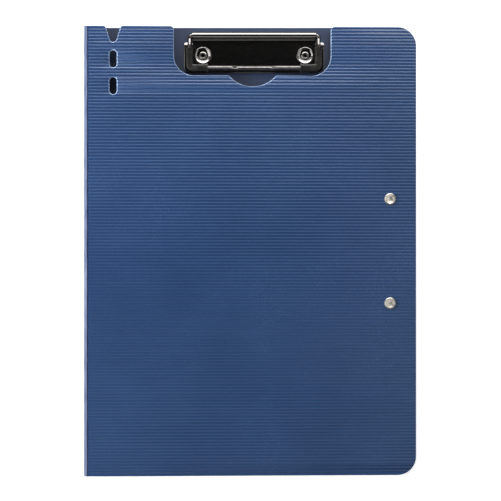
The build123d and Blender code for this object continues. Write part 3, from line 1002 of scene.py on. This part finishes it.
def plate_piece():
    """Pressed plate with a rounded rim and bent-down ears, before its rivet seats are cut."""
    corners = [(x, y, BOARD_TOP) for x, y in plate_outline()]
    bm = extruded(corners, (0, 0, PLATE_TOP - BOARD_TOP))
    for share in EAR_SLICES:
        slice_across(bm, (0, PLATE_TOP_Y - EAR_BEND * share, 0), (0, 1, 0))
    rims = [e for e in rim_edges(bm) if all(abs(v.co.z - PLATE_TOP) < WELD for v in e.verts)]
    bmesh.ops.bevel(
        bm, geom=rims, offset=PLATE_EDGE_ROUND, segments=5, profile=0.5, affect="EDGES", material=-1
    )
    for vert in bm.verts:
        share = max(0.0, (vert.co.y - (PLATE_TOP_Y - EAR_BEND)) / EAR_BEND)
        vert.co.z -= EAR_DROP * share**2 * (vert.co.z - BOARD_TOP) / (PLATE_TOP - BOARD_TOP)
    return bm


plate = finish_piece(plate_piece(), "clip_plate", [PLATING], sharp=50)
for centre in RIVETS.values():
    cut(plate, drill((centre.x, centre.y, PLATE_TOP), SEAT_HOLE_RADIUS, SEAT_HOLE_DEPTH, 64))
settle(plate, "back", ["clip_base_plate"], sharp=50)

# Radius and height pairs: out over the seat's floor, up its slope, over the lip and back underneath.
seat_profile = rounded(
    [
        (BARREL_RADIUS + CLEARANCE, SEAT_FLOOR),
        (SEAT_FLOOR_RADIUS, SEAT_FLOOR),
        (SEAT_FLOOR_RADIUS + 1.2 * MM, SEAT_FLOOR + 0.30 * MM),
        (SEAT_RADIUS - 0.25 * MM, PLATE_TOP + 0.14 * MM),
        (SEAT_RADIUS + 0.25 * MM, PLATE_TOP + 0.02 * MM),
        (SEAT_RADIUS + 0.35 * MM, PLATE_TOP - 0.3 * MM),
        (SEAT_FLOOR_RADIUS + 0.6 * MM, BOARD_TOP),
        (BARREL_RADIUS + CLEARANCE, BOARD_TOP),
    ],
    SEAT_ROUND,
)
for side, centre in RIVETS.items():
    place = Matrix.Translation((centre.x, centre.y, 0))
    seat = turned(seat_profile, 96)
    finish_piece(seat, "rivet_seat_" + side, [PLATING], "back", place=place)
print("base plate faces", len(plate.data.polygons))

# %% [markdown]
# ### The rolled tube
# The section of the tube and of the sheet that rises into it is one outline in the YZ plane, extruded
# along the tube. The bore is cut through it afterwards.

# %% Rolled tube
RISE_RADIUS = 1.1 * MM
TUBE_WELD = 1e-6
TUBE_OVERLAP = 0.3 * MM
TUBE_LIFT = 0.01 * MM
BORE_OVER = 4 * MM


def tube_section():
    """Outline of plate end, rising curve and tube: pairs of Y and Z, measured from the tube's axis."""
    top = PLATE_TOP - BAIL_AXIS.z
    under = top - GAUGE
    rise_centre_z = top + RISE_RADIUS
    reach = math.sqrt((TUBE_RADIUS + RISE_RADIUS) ** 2 - rise_centre_z**2)
    rise_centre = (-reach, rise_centre_z)
    meet = math.degrees(math.atan2(rise_centre_z, -reach))
    start = (PLATE_TOP_Y - BAIL_AXIS.y - EAR_BEND - TUBE_OVERLAP, top + TUBE_LIFT)
    rise = arc_points(rise_centre, RISE_RADIUS, -90, meet + 180, 8)
    tube = arc_points((0, 0), TUBE_RADIUS, meet + 360, -90, 48)
    return [start] + rise + tube + [(0, under), (start[0], under)]


section = [(CLIP_X - TUBE_HALF, BAIL_AXIS.y + y, BAIL_AXIS.z + z) for y, z in tube_section()]
tube_mesh = extruded(section, (2 * TUBE_HALF, 0, 0))
bmesh.ops.remove_doubles(tube_mesh, verts=tube_mesh.verts, dist=TUBE_WELD)
tube = finish_piece(tube_mesh, "clip_tube", [PLATING], sharp=40)
cut(tube, drill(BAIL_AXIS, TUBE_BORE, 2 * TUBE_HALF + BORE_OVER, 40, lying=True))
settle(tube, "back", sharp=40)
print("tube faces", len(tube.data.polygons))

# %% [markdown]
# ## Bent wire and moulded grips
# A wire bender feeds straight wire and turns it at each corner, and the model does the same. The section
# is a ring of points that is extruded along each straight run and spun round each bend. The grips are
# fatter lengths of the same path, whose section steps in and out for the flanges and the grooves.


# %% A wire bender
DEGREES_PER_STEP = 7


def bend_steps(points, bends):
    """Runs and bends along a route of corners: lengths, and for each bend its centre, axis and angle."""
    route = [Vector(point) for point in points]
    steps = []
    start = route[0]
    for corner, after, radius in zip(route[1:], route[2:], bends):
        before = (corner - start).normalized()
        onward = (after - corner).normalized()
        angle = before.angle(onward)
        axis = before.cross(onward).normalized()
        reach = radius * math.tan(angle / 2)
        bend_start = corner - before * reach
        steps.append(("run", bend_start - start))
        steps.append(("bend", bend_start + axis.cross(before) * radius, axis, angle))
        start = corner + onward * reach
    steps.append(("run", route[-1] - start))
    return steps


def grow_along(bm, loop, step):
    """Extrudes a ring of edges along a run, round a bend or out to another radius. Gives the new ring."""
    kind = step[0]
    if kind == "bend":
        _, centre, axis, angle = step
        count = max(3, round(math.degrees(angle) / DEGREES_PER_STEP))
        turning = {"cent": centre, "axis": axis, "angle": angle, "steps": count}
        spun = bmesh.ops.spin(bm, geom=loop, use_duplicate=False, **turning)
        return edges_in(spun["geom_last"])
    pushed = bmesh.ops.extrude_edge_only(bm, edges=loop)["geom"]
    verts = verts_in(pushed)
    if kind == "run":
        bmesh.ops.translate(bm, vec=step[1], verts=verts)
    else:
        middle = sum((vert.co for vert in verts), Vector()) / len(verts)
        bmesh.ops.scale(bm, vec=(step[1],) * 3, space=Matrix.Translation(-middle), verts=verts)
    return edges_in(pushed)


def pipe(start, direction, radius, steps, corner=None):
    """Solid bar grown from a ring. The ring is round, or square with corners rounded by an amount."""
    bm = bmesh.new()
    if corner is None:
        bmesh.ops.create_circle(bm, cap_ends=False, segments=28, radius=radius)
    else:
        bmesh.ops.create_circle(bm, cap_ends=False, segments=4, radius=radius * math.sqrt(2))
        bmesh.ops.rotate(bm, matrix=Matrix.Rotation(math.pi / 4, 3, "Z"), verts=bm.verts)
        bmesh.ops.bevel(
            bm, geom=bm.verts[:], offset=corner, segments=6, profile=0.5, affect="VERTICES", material=-1
        )
    turn = Vector(direction).to_track_quat("Z", "Y").to_matrix().to_4x4()
    bmesh.ops.transform(bm, matrix=Matrix.Translation(start) @ turn, verts=bm.verts)
    loop = bm.edges[:]
    for step in steps:
        loop = grow_along(bm, loop, step)
    bmesh.ops.remove_doubles(bm, verts=bm.verts, dist=WELD)
    close_ends(bm)
    return bm


# %% Wire bail
WIRE_RADIUS = 1.5 * MM
BAIL_HALF = 45.3 * MM
BAIL_REACH = 23.0 * MM
BAIL_INNER = 20.0 * MM
LEG_RISE_START = 2.6 * MM
LEG_RISE_RUN = 4.4 * MM
SLEEVE_RADIUS = 2.4 * MM
SLEEVE_FLANGE = 0.4 * MM
SLEEVE_LIFT = 0.3 * MM
LEG_RISE = PLATE_TOP + SLEEVE_LIFT + SLEEVE_RADIUS + SLEEVE_FLANGE - BAIL_AXIS.z
BUMP_START = 15.3 * MM
BUMP_END = 11.3 * MM
BUMP_FORWARD = 0.5 * MM
BUMP_RISE = 2.0 * MM
CORNER_BEND = 2.6 * MM
TUBE_BEND = 2.0 * MM
WIRE_BEND = 3.0 * MM


def bail_point(x, back, rise):
    """Place on the bail: sideways from the clip's middle, back from the tube's axis, up from it."""
    return Vector((BAIL_AXIS.x + x, BAIL_AXIS.y - back, BAIL_AXIS.z + rise))


half_route = [
    (BAIL_INNER, 0.0, 0.0),
    (BAIL_HALF, 0.0, 0.0),
    (BAIL_HALF, LEG_RISE_START, 0.0),
    (BAIL_HALF, LEG_RISE_START + LEG_RISE_RUN, LEG_RISE),
    (BAIL_HALF, BAIL_REACH, LEG_RISE),
    (BUMP_START, BAIL_REACH, LEG_RISE),
    (BUMP_END, BAIL_REACH + BUMP_FORWARD, LEG_RISE + BUMP_RISE),
]
half_bends = [TUBE_BEND, WIRE_BEND, WIRE_BEND, CORNER_BEND, WIRE_BEND, WIRE_BEND]
route = [bail_point(*p) for p in half_route] + [bail_point(-x, b, r) for x, b, r in reversed(half_route)]
wire_steps = bend_steps(route, half_bends + half_bends[::-1])
wire_mesh = pipe(route[0], (1, 0, 0), WIRE_RADIUS, wire_steps)
wire = finish_piece(
    wire_mesh, "bail_wire", [WIRE_METAL], "bail", ["wire_bail"], sharp=50
)
print("wire faces", len(wire.data.polygons))

# %% Corner grips
SLEEVE_START = 9.0 * MM
SLEEVE_END = 32.5 * MM
FLANGE_LENGTH = 0.9 * MM
GRIP_START = 1.8 * MM
GRIP_PITCH = 1.3 * MM
GRIP_WIDTH = 0.55 * MM
GRIP_DEPTH = 0.35 * MM
GRIP_COUNT = 5
GRIP_CORNER = 1.0 * MM
SOFT = 0.12 * MM


def flange_steps(direction):
    """From the flange's end face to the grip's barrel."""
    wide = (SLEEVE_RADIUS + SLEEVE_FLANGE) / (SLEEVE_RADIUS + SLEEVE_FLANGE - SOFT)
    narrow = SLEEVE_RADIUS / (SLEEVE_RADIUS + SLEEVE_FLANGE)
    steps = [("scale", wide), ("run", direction * SOFT * 0.5)]
    return steps + [("run", direction * (FLANGE_LENGTH - SOFT)), ("scale", narrow)]


def groove_steps(direction):
    """Ring grooves, one after another, with soft lips."""
    steps = [("run", direction * (GRIP_START - FLANGE_LENGTH - GRIP_WIDTH / 2))]
    inner = (SLEEVE_RADIUS - GRIP_DEPTH) / SLEEVE_RADIUS
    for _ in range(GRIP_COUNT):
        steps += [("run", direction * SOFT), ("scale", inner), ("run", direction * (GRIP_WIDTH - SOFT))]
        steps += [("scale", 1 / inner), ("run", direction * (GRIP_PITCH - GRIP_WIDTH))]
    return steps


def travelled(steps):
    """Length of the straight runs in a list of steps."""
    return sum(step[1].length for step in steps if step[0] == "run")


def reversed_steps(steps):
    """The same steps walked from the other end."""
    out = []
    for step in reversed(steps):
        out.append(("run", step[1]) if step[0] == "run" else ("scale", 1 / step[1]))
    return out


def grip_piece(side):
    """One corner grip, from the flange on the leg to the flange on the bar."""
    leg = Vector((0, -1, 0))
    bar = Vector((-side, 0, 0))
    start = bail_point(side * BAIL_HALF, SLEEVE_START, LEG_RISE)
    corner = bail_point(side * BAIL_HALF, BAIL_REACH, LEG_RISE)
    end = bail_point(side * SLEEVE_END, BAIL_REACH, LEG_RISE)
    leg_part = flange_steps(leg) + groove_steps(leg)
    bar_part = reversed_steps(flange_steps(bar) + groove_steps(bar))
    near = start + leg * travelled(leg_part)
    far = end - bar * travelled(bar_part)
    steps = leg_part + bend_steps([near, corner, far], [CORNER_BEND]) + bar_part
    bm = pipe(start, leg, SLEEVE_RADIUS + SLEEVE_FLANGE - SOFT, steps, corner=GRIP_CORNER)
    name = "left" if side < 0 else "right"
    node = "corner_sleeve_" + name
    finish_piece(bm, "corner_grip_" + name, [MOULDED], "bail", [node], sharp=40)


for side in (-1, 1):
    grip_piece(side)
print("grips made")

# %% [markdown]
# ## Rivets and washers
# All of these are turned shapes: a profile is drawn once as radius and height and spun about the
# rivet's axis. The clip's rivets are half hollow, so their rolled ends show a ring round a dark hole.
# The pocket's rivets have a closed head with a raised rim and a dished middle.

# %% Clip rivets and washers
BORE_RADIUS = 1.35 * MM
FLANGE_RADIUS = 2.7 * MM
FLANGE_LOW = SEAT_FLOOR + 0.02 * MM
BORE_FLOOR = 0.65 * MM
BORE_MARGIN = 0.02 * MM
HEAD_MARGIN = 0.3 * MM
RIVET_ROUND = 0.25 * MM
WASHER_ROUND = 0.1 * MM


def washer(bore, rim, low, high):
    """Flat ring with its corners just broken."""
    return turned(rounded([(bore, low), (rim, low), (rim, high), (bore, high)], WASHER_ROUND))


for side, centre in RIVETS.items():
    low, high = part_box("clip_rivet_" + side)
    washer_low, washer_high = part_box("clip_washer_" + side)
    head_radius = (high.x - low.x) / 2
    place = Matrix.Translation((centre.x, centre.y, 0))
    # From the middle of the rear head, up the barrel, over the flange and down into the bore.
    profile = rounded(
        [
            (0.0, low.z),
            (head_radius * 0.9, low.z + 0.03 * MM),
            (head_radius, washer_low.z - 0.1 * MM),
            (head_radius * 0.96, washer_low.z),
            (BARREL_RADIUS, washer_low.z),
            (BARREL_RADIUS, FLANGE_LOW),
            (FLANGE_RADIUS, FLANGE_LOW),
            (FLANGE_RADIUS, high.z - 0.25 * MM),
            (FLANGE_RADIUS - 0.55 * MM, high.z),
            (BORE_RADIUS + 0.2 * MM, high.z - 0.05 * MM),
            (BORE_RADIUS, high.z - 0.5 * MM),
            (BORE_RADIUS, low.z + BORE_FLOOR),
            (0.0, low.z + BORE_FLOOR),
        ],
        RIVET_ROUND,
    )
    rivet = turned(profile)
    # Faces inside the bore take the near-black finish: painted shade in the hole.
    for face in rivet.faces:
        middle = face.calc_center_median()
        in_bore = middle.xy.length < BORE_RADIUS + BORE_MARGIN and middle.z > low.z + HEAD_MARGIN
        face.material_index = int(in_bore)
    finishes = [CLIP_RIVET_METAL, BORE_SHADE_METAL]
    finish_piece(rivet, "rivet_" + side, finishes, "back", ["clip_rivet_" + side], place)
    washer_radius = (washer_high.x - washer_low.x) / 2
    ring = washer(BARREL_RADIUS + CLEARANCE, washer_radius, washer_low.z, washer_high.z)
    node = "clip_washer_" + side
    finish_piece(ring, "washer_" + side, [WASHER_METAL], "back", [node], place)
print("clip rivets and washers made")

# %% Pocket rivets and washers
HEAD_RADIUS = 4.1 * MM
HEAD_HEIGHT = 0.9 * MM
HEAD_RIM = 0.9 * MM
DISH_DEPTH = 0.78 * MM
SHANK_RADIUS = 2.0 * MM
TAIL_RADIUS = 2.8 * MM
WASHER_RADIUS = 3.6 * MM
POCKET_SHEET = 0.5 * MM
WASHER_THICKNESS = 0.4 * MM
TAIL_THICKNESS = 0.4 * MM
DISH_STEPS = 8
STUD_ROUND = 0.28 * MM
for side in ("upper", "lower"):
    washer_middle = sum(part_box("pocket_washer_" + side), Vector()) / 2
    local = COVER.inverted() @ washer_middle
    place = COVER @ Matrix.Translation((local.x, local.y, 0))
    head_top = INSET + HEAD_HEIGHT
    tail_top = INNER_FACE - POCKET_SHEET - WASHER_THICKNESS
    dish_radius = HEAD_RADIUS - HEAD_RIM
    dish = []
    for i in range(DISH_STEPS + 1):
        share = i / DISH_STEPS
        depth = DISH_DEPTH * (1 - share**1.7)
        dish.append((dish_radius * share, head_top - depth))
    # From the rim of the dish, round the head, down the shank and round its riveted tail.
    outside = rounded(
        [
            dish[-1],
            (dish_radius + HEAD_RIM * 0.35, head_top + 0.02 * MM),
            (HEAD_RADIUS - 0.05 * MM, head_top - 0.35 * MM),
            (HEAD_RADIUS, INSET - 0.1 * MM),
            (SHANK_RADIUS, INSET - 0.1 * MM),
            (SHANK_RADIUS, tail_top),
            (TAIL_RADIUS, tail_top),
            (TAIL_RADIUS, tail_top - TAIL_THICKNESS),
            (0.0, tail_top - TAIL_THICKNESS),
        ],
        STUD_ROUND,
    )
    stud = turned(dish[:-1] + outside)
    node = "pocket_rivet_" + side
    finish_piece(stud, "pocket_stud_" + side, [RIVET_METAL], "cover", [node], place)
    ring_top = INNER_FACE - POCKET_SHEET
    ring = washer(SHANK_RADIUS + CLEARANCE, WASHER_RADIUS, ring_top - WASHER_THICKNESS, ring_top)
    node = "pocket_washer_" + side
    finish_piece(ring, "pocket_ring_" + side, [WASHER_METAL], "cover", [node], place)
print("pocket rivets and washers made")

# %% [markdown]
# ## The inner pocket
# The pocket is a thinner, smooth sheet welded and riveted behind the cover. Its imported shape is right, so
# the node stays and takes the smooth plastic finish.

# %% Inner pocket
frame["nodes"]["inner_pocket"].data.materials[0] = INNER

# %% Sizes of the scene
low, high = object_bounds()
